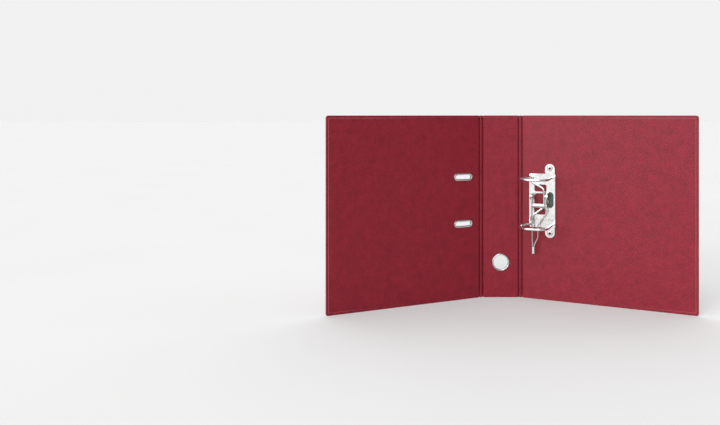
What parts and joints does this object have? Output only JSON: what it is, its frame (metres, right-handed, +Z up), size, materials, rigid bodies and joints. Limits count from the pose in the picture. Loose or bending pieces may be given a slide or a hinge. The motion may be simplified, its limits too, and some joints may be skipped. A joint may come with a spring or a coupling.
{
  "type": "lever arch file",
  "caption": "Standing lever arch file, half open: hinged covers, spine with finger ring and label, and a lever mechanism whose wire arches hold punched paper.",
  "frame": {"origin": "middle of the spine's bottom edge, half way through its thickness", "axes": "+Z up, +X along the spine towards the back cover, -Y out of the open file"},
  "size_m": [0.587, 0.1164, 0.315],
  "materials": {
    "outer_paper": "embossed fine grain, semi-matt",
    "inner_paper": "embossed fine grain, semi-matt",
    "greyboard": "matt",
    "label_paper": "satin",
    "nickel_trim": "polished nickel plate",
    "nickel_steel": "bright nickel plate",
    "spring_steel": "drawn wire"
  },
  "bodies": {
    "spine": {"spine_wrap": "outer_paper", "spine_board": "greyboard", "spine_lining": "inner_paper", "finger_ring": "nickel_trim", "finger_ring_washer": "nickel_trim", "spine_label": "label_paper"},
    "front_strip": {"front_strip_wrap": "outer_paper", "front_strip_board": "greyboard", "front_strip_lining": "inner_paper", "front_spine_crease": "outer_paper"},
    "back_strip": {"back_strip_wrap": "outer_paper", "back_strip_board": "greyboard", "back_strip_lining": "inner_paper", "back_spine_crease": "outer_paper"},
    "front_cover": {"front_cover_wrap": "outer_paper", "front_cover_board": "greyboard", "front_cover_lining": "inner_paper", "front_cover_crease": "outer_paper", "upper_slot_eyelet": "nickel_trim", "lower_slot_eyelet": "nickel_trim"},
    "back_cover": {"back_cover_wrap": "outer_paper", "back_cover_board": "greyboard", "back_cover_lining": "inner_paper", "back_cover_crease": "outer_paper", "base_plate": "nickel_steel", "mechanism_rivets": "nickel_steel", "upper_post": "nickel_steel", "lower_post": "nickel_steel", "arch_spring": "spring_steel", "lever_pivots": "nickel_steel"},
    "arches": {"arch_wire": "nickel_steel"},
    "lever": {"lever_wire": "nickel_steel", "lever_sleeve": "nickel_steel", "roller_axle": "nickel_steel"},
    "roller": {"pressure_roller": "nickel_steel"}
  },
  "joints": [
    {"name": "front_spine_fold", "type": "hinge", "parent": "spine", "child": "front_strip", "pos_m": [-0.0312, 0.0013, 0.1575], "axis": [0, 0, -1], "range_deg": [-33.2, 11.8], "deforming": ["front_spine_crease"]},
    {"name": "front_cover_fold", "type": "hinge", "parent": "front_strip", "child": "front_cover", "pos_m": [-0.03766, -0.00005, 0.1575], "axis": [0, 0, -1], "range_deg": [-33.2, 11.8], "deforming": ["front_cover_crease"]},
    {"name": "back_spine_fold", "type": "hinge", "parent": "spine", "child": "back_strip", "pos_m": [0.0312, 0.0013, 0.1575], "axis": [0, 0, 1], "range_deg": [-33.2, 11.8], "deforming": ["back_spine_crease"]},
    {"name": "back_cover_fold", "type": "hinge", "parent": "back_strip", "child": "back_cover", "pos_m": [0.03766, -0.00005, 0.1575], "axis": [0, 0, 1], "range_deg": [-33.2, 11.8], "deforming": ["back_cover_crease"]},
    {"name": "lever_swing", "type": "hinge", "parent": "back_cover", "child": "lever", "pos_m": [0.06069, -0.02528, 0.1775], "axis": [-0.9164, 0.4003, 0], "range_deg": [0, 80]},
    {"name": "arches_swing", "type": "hinge", "parent": "back_cover", "child": "arches", "pos_m": [0.0513, -0.0143, 0.1695], "axis": [0, 0, -1], "range_deg": [0, 48], "deforming": ["arch_spring"]},
    {"name": "roller_spin", "type": "hinge", "parent": "lever", "child": "roller", "pos_m": [0.06069, -0.02528, 0.1619], "axis": [0.9164, -0.4003, 0], "continuous": true}
  ],
  "couplings": [
    {"joint": "arches_swing", "follows": "lever_swing", "ratio": 0.6}
  ]
}
